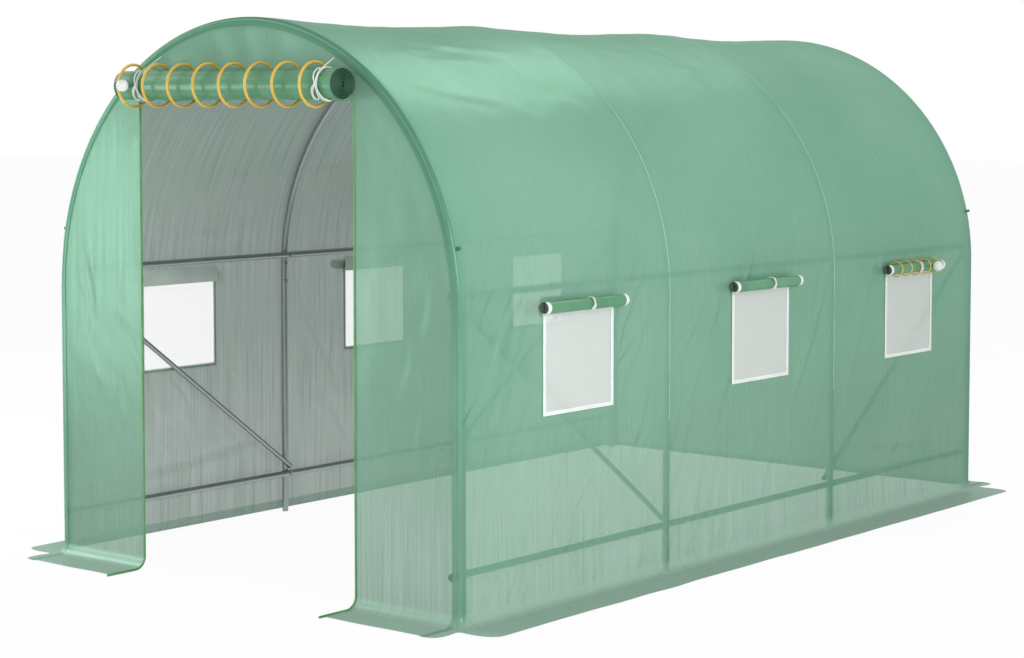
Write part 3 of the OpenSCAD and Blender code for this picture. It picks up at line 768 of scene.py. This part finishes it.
# %% Stitches
stitch_tree, node, given = geometry_tree("stitch_line", {"Pitch": "Float", "Stitch length": "Float",
    "Thread": "Float", "Material": "Material"})
path = node("GeometryNodeMeshToCurve", [given["Geometry"]])
marks_on = node("GeometryNodeResampleCurve", {"Curve": path, "Length": given["Pitch"]}, mode="LENGTH")
one = node("GeometryNodeMeshIcoSphere", {"Radius": 0.5, "Subdivisions": 1})
size = node("ShaderNodeCombineXYZ", [given["Thread"], given["Thread"], given["Stitch length"]])
along = node("GeometryNodeInputTangent")
turn = node("FunctionNodeAlignRotationToVector", {"Vector": along}, axis="Z")
put_copies(node, {"Points": marks_on, "Instance": one, "Rotation": turn, "Scale": size}, given["Material"])

hem_lines = []
for end in (-1, 1):
    shape = profile_points(-turn_r - 0.008, 0.12)
    hem_lines.append(np.insert(shape, 1, end * (wall_y + 0.0012), axis=1))
hem_stitches = grow("hem_stitches", stitch_tree, {"Pitch": 0.010, "Stitch length": 0.007, "Thread": 0.0014,
    "Material": thread}, line_mesh("hem", hem_lines))
finish_piece(hem_stitches, "string")

# %% [markdown]
# ## Rolled-up door and window flaps
# A rolled sheet is a spiral. If the sheet is L long and wound from radius r to radius R, each turn adds the pitch
# p = pi * (R * R - r * r) / L, and a point at a distance d from the inner end lies at the radius
# sqrt(r * r + p * d / pi). The tree rolls up a flat grid by that rule and lets its skin ripple a little.

# %% The rolling tree
roll_tree, node, given = geometry_tree("roll_up", {"Roll length": "Float", "Sheet length": "Float",
    "Inner radius": "Float", "Outer radius": "Float", "Ripple": "Float", "Band width": "Float", "Steps along": "Int",
    "Steps round": "Int", "Seed": "Float", "Sheet": "Material", "Band": "Material"})
flat_grid = node("GeometryNodeMeshGrid", {"Size X": given["Roll length"], "Size Y": given["Sheet length"],
    "Vertices X": given["Steps along"], "Vertices Y": given["Steps round"]})
spot = node("ShaderNodeSeparateXYZ", [node("GeometryNodeInputPosition").outputs[0]])
along = spot.outputs[0]
wound = node("ADD", [spot.outputs[1], node("MULTIPLY", [given["Sheet length"], 0.5])])
inner2 = node("POWER", [given["Inner radius"], 2.0])
outer2 = node("POWER", [given["Outer radius"], 2.0])
pitch = node("DIVIDE", [node("MULTIPLY", [node("SUBTRACT", [outer2, inner2]), math.pi]), given["Sheet length"]])
radius = node("SQRT", [node("ADD", [inner2, node("DIVIDE", [node("MULTIPLY", [pitch, wound]), math.pi])])])
turned = node("DIVIDE", [node("MULTIPLY", [node("SUBTRACT", [radius, given["Inner radius"]]), 2 * math.pi]), pitch])
sine, cosine = node("SINE", [turned]), node("COSINE", [turned])
skin = node("ShaderNodeCombineXYZ", [node("MULTIPLY", [along, 5.0]), sine, cosine])
waves = node("ShaderNodeTexNoise", {"Vector": skin, "W": given["Seed"], "Scale": 1.3, "Detail": 2.0},
    noise_dimensions="4D")
swell = node("MULTIPLY_ADD", [node("SUBTRACT", [waves, 0.55]), given["Ripple"], 1.0])
radius = node("MULTIPLY", [radius, swell])
rolled_to = node("ShaderNodeCombineXYZ", [along, node("MULTIPLY", [radius, sine]), node("MULTIPLY", [radius, cosine])])
kept = node("GeometryNodeStoreNamedAttribute", {"Geometry": flat_grid, "Name": "cloth",
    "Value": node("ShaderNodeCombineXYZ", [wound, along]).outputs[0]}, data_type="FLOAT2", domain="CORNER")
rolled = node("GeometryNodeSetPosition", {"Geometry": kept, "Position": rolled_to})
real = node("GeometryNodeRealizeInstances", [rolled])
filmed = node("GeometryNodeSetMaterial", {"Geometry": real, "Material": given["Sheet"]})
from_end = node("SUBTRACT", [node("MULTIPLY", [given["Roll length"], 0.5]), node("ABSOLUTE", [along])])
at_end = node("LESS_THAN", [from_end, given["Band width"]])
banded = node("GeometryNodeSetMaterial", {"Geometry": filmed, "Selection": at_end, "Material": given["Band"]})
node("NodeGroupOutput", [banded])

# %% The rolled-up door
roll_film = plastic("rolled_polyethylene_film", "#5b9c74", "#4b8b64", 0.30, 10.0, 0.25)
dark_edge = plastic("cut_film_edge_in_shade", "#1d4530", "#183a28", 0.5, 3.0, 0.2)
door_roll = grow("rolled_up_door", roll_tree, {"Roll length": 2 * door_roll_size.x, "Sheet length": 1.36,
    "Inner radius": 0.009, "Outer radius": door_roll_r - 0.002, "Ripple": 0.05, "Band width": 0.006,
    "Steps along": 110, "Steps round": 230, "Seed": 3.0, "Sheet": roll_film, "Band": dark_edge}, wall=0.0034)
tie_xs = (-0.417, 0.474)


def lay_door_roll(points):
    """Puts the roll over the doorway and lets both ties pinch it."""
    x, y, z = points.T
    pinch = 1 - sum(0.035 * np.exp(-((x - tie) / 0.022) ** 2) for tie in tie_xs)
    turn = math.radians(150)                       # puts the free edge low at the back
    y, z = pinch * (y * math.cos(turn) - z * math.sin(turn)), pinch * (y * math.sin(turn) + z * math.cos(turn))
    return np.stack([x, y, z], axis=1) + np.array(door_roll_at)


move_points(door_roll, lay_door_roll)
film_edge = plastic("cut_film_edge_in_light", "#2f6146", "#28543b", 0.5, 3.0, 0.2)
paint_faces(door_roll, film_edge, lambda face: abs(face.normal.x) > 0.9)
finish_piece(door_roll, "rolled_cover", "door_roll")

# %% The door's head, sewn to the wall behind the roll
xs, zs = np.linspace(-door_half + 0.004, door_half - 0.004, 70), np.linspace(door_roll_at.z, door_roll_at.z + 0.052, 9)
grid_x, grid_z = np.meshgrid(xs, zs)
rise = (grid_z - zs[0]) / (zs[-1] - zs[0])
grid_y = -wall_y - 0.0045 + 0.0030 * rise + 0.0008 * soft_lumps(grid_x, grid_z, 0.06, 0.1, 5)
door_head = sheet_from_grid("door_head", np.stack([grid_x, grid_y, grid_z], axis=-1),
    np.stack([grid_x, grid_z], axis=-1), wall_film)
finish_piece(door_head, "cover")

# %% The rolled-up window flaps
flap_w, flap_h = 0.46, 0.36            # flat
tie_shift = 0.025                      # from a window's middle to its tie
# Painted shade: the inner turns at each end of a window roll lie deep in shade, so they get a dark grey instead of the
# white tape.
roll_end_painted_shade = plastic("window_roll_end_in_painted_shade", "#616c67", "#4b5550", 0.5, 3.0, 0.2)
flap_rolls = {}
for i, w in enumerate(windows):
    roll = grow(f"{w['name']}_window_flap", roll_tree, {"Roll length": flap_w, "Sheet length": 0.30,
        "Inner radius": 0.005, "Outer radius": w["roll_r"] - 0.0012, "Ripple": 0.06, "Band width": 0.013,
        "Steps along": 56, "Steps round": 110, "Seed": 10.0 + i, "Sheet": roll_film, "Band": white_tape}, wall=0.0022)

    def lay_flap(points, w=w):
        """Turns the roll along the wall and pinches it at its tie."""
        x, y, z = points.T
        pinch = 1 - 0.07 * np.exp(-((x - tie_shift) / 0.014) ** 2)
        return np.stack([w["roll_x"] + w["side"] * y * pinch, w["y"] + x, w["roll_z"] + z * pinch], axis=1)

    def in_the_end(face, w=w):
        """Whether a face belongs to the inner turns at an end of the roll, which get painted shade."""
        from_axis = math.hypot(face.center.x - w["roll_x"], face.center.z - w["roll_z"])
        return flap_w / 2 - abs(face.center.y - w["y"]) < 0.0135 and from_axis < 0.84 * w["roll_r"]

    move_points(roll, lay_flap)
    paint_faces(roll, roll_end_painted_shade, in_the_end)
    if w["side"] < 0:
        roll.data.flip_normals()
    flap_rolls[w["name"]] = roll
for side, word in sides:
    names = [w["name"] for w in windows if w["side"] == side]
    for name in names:
        finish_piece(flap_rolls[name], "rolled_cover", f"{word}_window_rolls")

# %% [markdown]
# ## Ties
# Each roll is held by a cord that goes round it and ends in a bow. The cords are smooth curves with a round section.
# A bow lies on the roll, so its points are given on the roll's skin: how far along the roll, how far up round it,
# and how far off it.


# %% Cords
def cords(name, lines, radius, material):
    """Round cords along smooth lines, as one mesh. Each line is (points, closed)."""
    curve = bpy.data.curves.new(name, "CURVE")
    curve.dimensions, curve.bevel_depth, curve.bevel_resolution = "3D", radius, 2
    curve.use_fill_caps, curve.resolution_u = True, 5
    for points, closed in lines:
        spline = curve.splines.new("NURBS")
        spline.points.add(len(points) - 1)
        spline.points.foreach_set("co", np.insert(np.array(points, float), 3, 1, axis=1).ravel())
        spline.order_u, spline.use_endpoint_u, spline.use_cyclic_u = 4, not closed, closed
    drawn = bpy.data.objects.new(name, curve)
    bpy.context.scene.collection.objects.link(drawn)
    mesh = bpy.data.meshes.new_from_object(drawn.evaluated_get(bpy.context.evaluated_depsgraph_get()))
    bpy.data.objects.remove(drawn)
    return put_in_scene(name, mesh, material)


# Along the roll, up round it and off it, in millimetres, for a bow of the door's size.
bow = (((0, 0, 3), (-9, 14, 5), (-16, 34, 7), (-13, 52, 7), (-4, 60, 6), (5, 52, 6), (7, 34, 6), (4, 14, 6),
    (0, 0, 5)), ((0, 0, 4), (-8, -12, 6), (-17, -30, 8), (-19, -46, 8), (-9, -57, 7), (2, -48, 6), (6, -30, 7),
    (3, -12, 6), (0, 0, 5)), ((0, 2, 7), (8, -10, 8), (12, -26, 6), (15, -44, 6), (22, -58, 5), (38, -66, 5)),
    ((-2, 0, 6), (-11, -8, 7), (-21, -22, 6), (-26, -40, 5), (-25, -56, 5)),
    ((-5, 3, 3), (0, 6, 7), (5, 2, 6), (2, -4, 6), (-4, -3, 5), (-5, 3, 3)))


def bow_lines(at, r, scale, along, off):
    """The bow's lines on a roll of radius r around at. along and off are the roll's axis and its outer side."""
    lines = []
    for line in bow:
        points = []
        for dx, up, lift in line:
            turn = up * scale / 1000 / r
            points.append(at + along * (dx * scale / 1000) + off * ((r + lift * scale / 1000) * math.cos(turn))
                + Vector((0, 0, (r + lift * scale / 1000) * math.sin(turn))))
        lines.append((points, False))
    return lines


# %% The door's ties
lines = []
string_feet = (-0.415, 0.447)
door_tie_r, window_tie_r = 0.0575, 0.0235
for tie_x, foot_x in zip(tie_xs, string_feet):
    at = Vector((tie_x, door_roll_at.y, door_roll_at.z))
    for shift in (-0.0022, 0.0022):
        ring = [at + Vector((shift, -door_tie_r * math.cos(t), door_tie_r * math.sin(t)))
            for t in np.linspace(0, 2 * math.pi, 25)[:-1]]
        lines.append((ring, True))
    lines += bow_lines(at, door_tie_r, 1.0, Vector((1, 0, 0)), Vector((0, -1, 0)))
    # The string leaves the roll where it points straight at its foot on the wall.
    foot = Vector((foot_x, -wall_y - 0.002, spring_z + math.sqrt(1 - foot_x ** 2) - 0.045))
    leave = at + Vector((0.002, -0.0330, 0.0510))
    lines.append(([at + Vector((0.002, -0.0525, 0.0290)), at + Vector((0.002, -0.0445, 0.0415)), leave,
        leave.lerp(foot, 0.25), leave.lerp(foot, 0.6), foot], False))
door_ties = cords("door_tie_cords", lines, 0.0023, braid)
finish_piece(door_ties, "string", "door_ties")

# %% The windows' ties
lines = []
for w in windows:
    at = Vector((w["roll_x"], w["y"] + tie_shift, w["roll_z"]))
    out = Vector((w["side"], 0, 0))
    for shift in (-0.0018, 0.0018):
        ring = [at + out * (window_tie_r * math.cos(t)) + Vector((0, shift, window_tie_r * math.sin(t)))
            for t in np.linspace(0, 2 * math.pi, 17)[:-1]]
        lines.append((ring, True))
    lines += bow_lines(at, window_tie_r, 0.42, Vector((0, 1, 0)) * w["side"], out)
window_ties = cords("window_tie_cords", lines, 0.0016, braid)
finish_piece(window_ties, "string", "window_ties")

# %% [markdown]
# ## Windows
# A fine insect net closes each window. Its holes are too small to see, so the net reads as a pale veil: from outside
# a fifth of what lies behind shows through, from the dim inside four fifths, and the threads glow with the rest.
# They are drawn 8 mm apart, six times coarser than the real 1.3 mm, and only faintly. A woven white tape frames the
# net and is sewn down with one line of stitches.

# %% Insect net
net, node = blank_material("knotless_polyethylene_insect_net")
cloth = node("ShaderNodeUVMap", uv_map="cloth")
parts = node("ShaderNodeSeparateXYZ", [cloth])
waves = [node("SINE", [node("MULTIPLY", [parts.outputs[k], 2 * math.pi / 0.008])]) for k in (0, 1)]
crossing = node("MAXIMUM", waves)
openings = node(MAP_RANGE, [crossing, -1.0, 1.0, 0.24, 0.16])
# From the dim inside the eye looks out through the holes, and from outside it sees the lit threads.
behind = node("ShaderNodeNewGeometry").outputs["Backfacing"]
openings = node("MULTIPLY_ADD", [behind, 0.60, openings])
weave = node("ShaderNodeBump", {"Height": crossing, "Strength": 0.3, "Distance": 0.0006})
threads = node("ShaderNodeBsdfPrincipled", {"Base Color": linear("#edf2ef"), "Roughness": 0.6, "IOR": 1.5,
    "Normal": weave})
glow = node("ShaderNodeBsdfTranslucent", {"Color": linear("#fcfefd"), "Normal": weave})
body = node("ShaderNodeMixShader", [0.33, threads, glow])
clear = node("ShaderNodeBsdfTransparent")
mixed = node("ShaderNodeMixShader", [openings, body, clear])
node("ShaderNodeOutputMaterial", {"Surface": mixed})

# %% Nets in the cut-outs
nets = []
for i, w in enumerate(windows):
    ys = np.linspace(w["y"] - cut_half - 0.004, w["y"] + cut_half + 0.004, 42)
    zs = np.linspace(cut_low - 0.004, cut_high + 0.004, 38)
    grid_y, grid_z = np.meshgrid(ys, zs)
    calm = np.sin(np.linspace(0, math.pi, 42))[None, :] * np.sin(np.linspace(0, math.pi, 38))[:, None]
    x = w["side"] * (cover_r - 0.0006 - (0.003 + 0.0015 * soft_lumps(grid_y, grid_z, 0.1, 0.1, 90 + i)) * calm)
    sheet = sheet_from_grid(f"{w['name']}_window_net", np.stack([x, grid_y, grid_z], axis=-1),
        np.stack([grid_y, grid_z], axis=-1), net, flip=w["side"] < 0)
    finish_piece(sheet, "window_net", "window_nets")
    nets.append(sheet)

# %% Facings on the inner side, sewn over the flap's seam above each window
facing_w, facing_h, facing_cut = 0.404, 0.062, 0.064       # the cut height is more, because the strip puffs
facing = plastic("pale_facing_film", "#dfe8e3", "#d0dad5", 0.5, 6.0, 0.2)
for w in windows:
    ys, rise = np.linspace(w["y"] - facing_w / 2, w["y"] + facing_w / 2, 52), np.linspace(0, 1, 9)
    grid_y, grid_rise = np.meshgrid(ys, rise)
    puff = 0.0085 + 0.006 * np.sin(math.pi * grid_rise) + 0.001 * soft_lumps(grid_y, grid_rise, 0.05, 0.7, 97)
    points = np.stack([w["side"] * (cover_r - puff), grid_y, w["top"] - 0.060 + facing_h * grid_rise], axis=-1)
    strip = sheet_from_grid(f"{w['name']}_window_facing", points, np.stack([grid_y, grid_rise * facing_h], axis=-1),
        facing, flip=w["side"] < 0)
    finish_piece(strip, "cover")

# %% Tape frames
tape_stitches = []
for side, word in sides:
    points, faces = [], []
    for w in (w for w in windows if w["side"] == side):
        low_y, high_y, low_z, top_z = w["y"] - window_half, w["y"] + window_half, w["sill"], w["top"]
        head_z = top_z - 0.061
        ys = [low_y, low_y + border_w, *np.linspace(low_y + border_w, high_y - border_w, 24)[1:-1], high_y - border_w,
            high_y]
        zs = [low_z, low_z + border_w, *np.linspace(low_z + border_w, head_z, 22)[1:-1], head_z]
        zs += [top_z - 0.034, top_z - 0.016]
        start = len(points)
        for z in zs:
            for y in ys:
                wave = 0.0004 * float(soft_lumps(np.array(y), np.array(z), 0.05, 0.05, 41))
                points.append((side * (cover_r + 0.0021 + wave), y, z))
        wide = len(ys)
        for r in range(len(zs) - 1):
            for c in range(wide - 1):
                if c in (0, wide - 2) or r == 0 or zs[r] >= head_z - 1e-6:
                    a = start + r * wide + c
                    quad = (a, a + 1, a + wide + 1, a + wide)
                    faces.append(quad if side > 0 else quad[::-1])
        inset, x = border_w / 2, side * (cover_r + 0.0032)
        tape_stitches.append([(x, y, z) for y, z in ((low_y + inset, head_z + 0.008), (low_y + inset, low_z + inset),
            (high_y - inset, low_z + inset), (high_y - inset, head_z + 0.008), (low_y + inset, head_z + 0.008))])
    mesh = bpy.data.meshes.new(f"{word}_window_tapes")
    mesh.from_pydata(points, [], faces)
    tapes = put_in_scene(f"{word}_window_tapes", mesh, white_tape)
    shell = tapes.modifiers.new("thickness", "SOLIDIFY")
    shell.thickness, shell.offset = 0.0022, 0.0
    soft = tapes.modifiers.new("soft_edges", "BEVEL")
    soft.width, soft.segments, soft.limit_method = 0.0006, 2, "ANGLE"
    finish_piece(tapes, "window_border", f"{word}_window_borders")
tape_thread = plastic("grey_white_sewing_thread", "#cfd8d3", "#c2ccc6", 0.45, 1.0)
stitches = grow("window_tape_stitches", stitch_tree, {"Pitch": 0.009, "Stitch length": 0.0065, "Thread": 0.0018,
    "Material": tape_thread}, line_mesh("tapes", tape_stitches))
finish_piece(stitches, "string")

# %% [markdown]
# ## Ball toggles
# A ball toggle is a nylon ball on a short elastic loop. The loop goes round a ring, and the ball keeps it there. The
# ball is turned from a profile with a small dimple at each pole, where the elastic goes in. Only the door's loop
# shows, so only that one is made.


# %% Balls and the door's elastic loop
def turned_part(name, profile, at, axis, material, steps=32):
    """A part turned on a lathe: profile is a list of (radius, height), closed at both ends."""
    axis = Vector(axis).normalized()
    side = axis.orthogonal().normalized()
    across = axis.cross(side)
    points, faces = [], []
    for radius, height in profile:
        for k in range(steps):
            t = 2 * math.pi * k / steps
            points.append(Vector(at) + axis * height + (side * math.cos(t) + across * math.sin(t)) * radius)
    for r in range(len(profile) - 1):
        for k in range(steps):
            a, b = r * steps + k, r * steps + (k + 1) % steps
            faces.append((a, b, b + steps, a + steps))
    faces.append(tuple(range(steps))[::-1])
    faces.append(tuple((len(profile) - 1) * steps + k for k in range(steps)))
    mesh = bpy.data.meshes.new(name)
    mesh.from_pydata([tuple(p) for p in points], [], faces)
    return put_in_scene(name, mesh, material)


ball_low, ball_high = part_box("ball_toggles")
ball_r = 0.022
door_ball = Vector((ball_low.x + ball_r, ball_low.y + ball_r, door_roll_at.z))
rear_right = windows[-1]
window_ball = Vector((ball_high.x - ball_r, ball_high.y - ball_r, rear_right["roll_z"]))
ball_profile = [(0.0022, -ball_r * 0.80), (0.0030, -ball_r * 0.93)]
ball_profile += [(ball_r * math.sin(t), -ball_r * math.cos(t)) for t in np.linspace(0.18, math.pi - 0.18, 25)]
ball_profile += [(0.0030, ball_r * 0.93), (0.0022, ball_r * 0.80)]
for name, at, axis in (("door_ball", door_ball, (0, 1, 0)), ("window_ball", window_ball, (1, 0, 0))):
    ball = turned_part(name, ball_profile, at, axis, ball_nylon)
    finish_piece(ball, "ball", "ball_toggles")

elastic = plastic("covered_elastic_cord", "#3c4a44", "#2f3b36", 0.6, 1.5, 0.4, weave=True)
pole = door_ball + Vector((0, ball_r * 0.8, 0))
# From the ball's rear pole round the first ring and back, in millimetres from the ring's front.
round_ring = ((24, 21, 4), (14, 19, 8), (0, 9, 10), (-9, 0, 8), (0, -9, 6), (8, 0, 2), (20, 19, -3))
ring_front = Vector((-0.494, -1.905, door_roll_at.z))      # the first ring's front
lines = [([pole, *(ring_front + Vector(step) / 1000 for step in round_ring), pole], False)]
loop = cords("door_ball_loop", lines, 0.0016, elastic)
finish_piece(loop, "string")

# %% [markdown]
# ## Clips and screws on the frame
# Two nylon clips on each end hoop hold the cover at chest height. Inside, screws fix every rail to every hoop and the
# arches to the legs. They are coated with zinc like the tubes. The same screw is placed on many points, so Geometry
# Nodes copy it.

# %% Cover clips
clip_z = spring_z + 0.222
clip_x = math.sqrt(cover_r ** 2 - (clip_z - spring_z) ** 2)
clip_profile = [(0.0075, -0.001), (0.0075, 0.0018), (0.0042, 0.0026), (0.0038, 0.0070), (0.0060, 0.0084),
    (0.0066, 0.0112), (0.0050, 0.0136), (0.0020, 0.0146)]
for end, end_name in ((-1, "front"), (1, "rear")):
    for side, side_name in sides:
        out = Vector((side * clip_x, 0, clip_z - spring_z)).normalized()
        at = Vector((side * clip_x, end * (straight_y - 0.001), clip_z)) + out * 0.0005
        clip = turned_part(f"{end_name}_{side_name}_clip", clip_profile, at, out, clip_nylon, 20)
        finish_piece(clip, "piping")

# %% Screw heads
screw_tree, node, given = geometry_tree("screws", {"Head radius": "Float", "Head height": "Float",
    "Material": "Material"})
facing = node("GeometryNodeInputNamedAttribute", {"Name": "facing"}, data_type="FLOAT_VECTOR")
wide = node("MULTIPLY", [given["Head radius"], 1.45])
washer = node("GeometryNodeMeshCylinder", {"Vertices": 16, "Radius": wide, "Depth": 0.0016})
head = node("GeometryNodeMeshCylinder", {"Vertices": 6, "Radius": given["Head radius"],
    "Depth": given["Head height"]})
up = node("ShaderNodeCombineXYZ", {2: node("MULTIPLY", [given["Head height"], 0.5])})
raised = node("GeometryNodeTransform", {"Geometry": head, "Translation": up})
both = node("GeometryNodeJoinGeometry")
for part in (washer, raised):
    screw_tree.links.new(part.outputs[0], both.inputs[0])
turn = node("FunctionNodeAlignRotationToVector", {"Vector": facing}, axis="Z")
put_copies(node, {"Points": given["Geometry"], "Instance": both, "Rotation": turn}, given["Material"])

tube_r, leg_x = 0.0125, 0.9852         # the tubes' radius, and the middle of the legs
spots, facings = [], []
ridge_at, _ = middle_and_half("ridge_rail")
for y in hoop_ys:
    spots.append((0, y, ridge_at.z - tube_r))
    facings.append((0, 0, -1))
    for side, word in sides:
        for rail in ("side_rail", "base_rail"):
            at, _ = middle_and_half(f"{word}_{rail}")
            spots.append((at.x - side * tube_r, y, at.z))
            facings.append((-side, 0, 0))
        for dz in (-0.045, 0.03):
            spots.append((side * leg_x - side * tube_r, y, spring_z + dz))
            facings.append((-side, 0, 0))
mesh = bpy.data.meshes.new("screw_spots")
mesh.from_pydata(spots, [], [])
mesh.attributes.new("facing", "FLOAT_VECTOR", "POINT").data.foreach_set("vector", np.array(facings, float).ravel())
screws = grow("frame_screws", screw_tree, {"Head radius": 0.0062, "Head height": 0.0050, "Material": galvanised}, mesh)
screws.data.polygons.foreach_set("use_smooth", [False] * len(screws.data.polygons))
finish_piece(screws, "steel_tube")

# %% [markdown]
# ## Which pieces are cloth
# The cover, the end walls, the door and its head, the nets, the window flaps and the facings over them are sheets.

for w, sheet in zip(windows, nets):
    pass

# %% [markdown]
# ## View transform
# The last cell sets the Standard view transform.

# %% View transform
bpy.context.scene.view_settings.view_transform = "Standard"
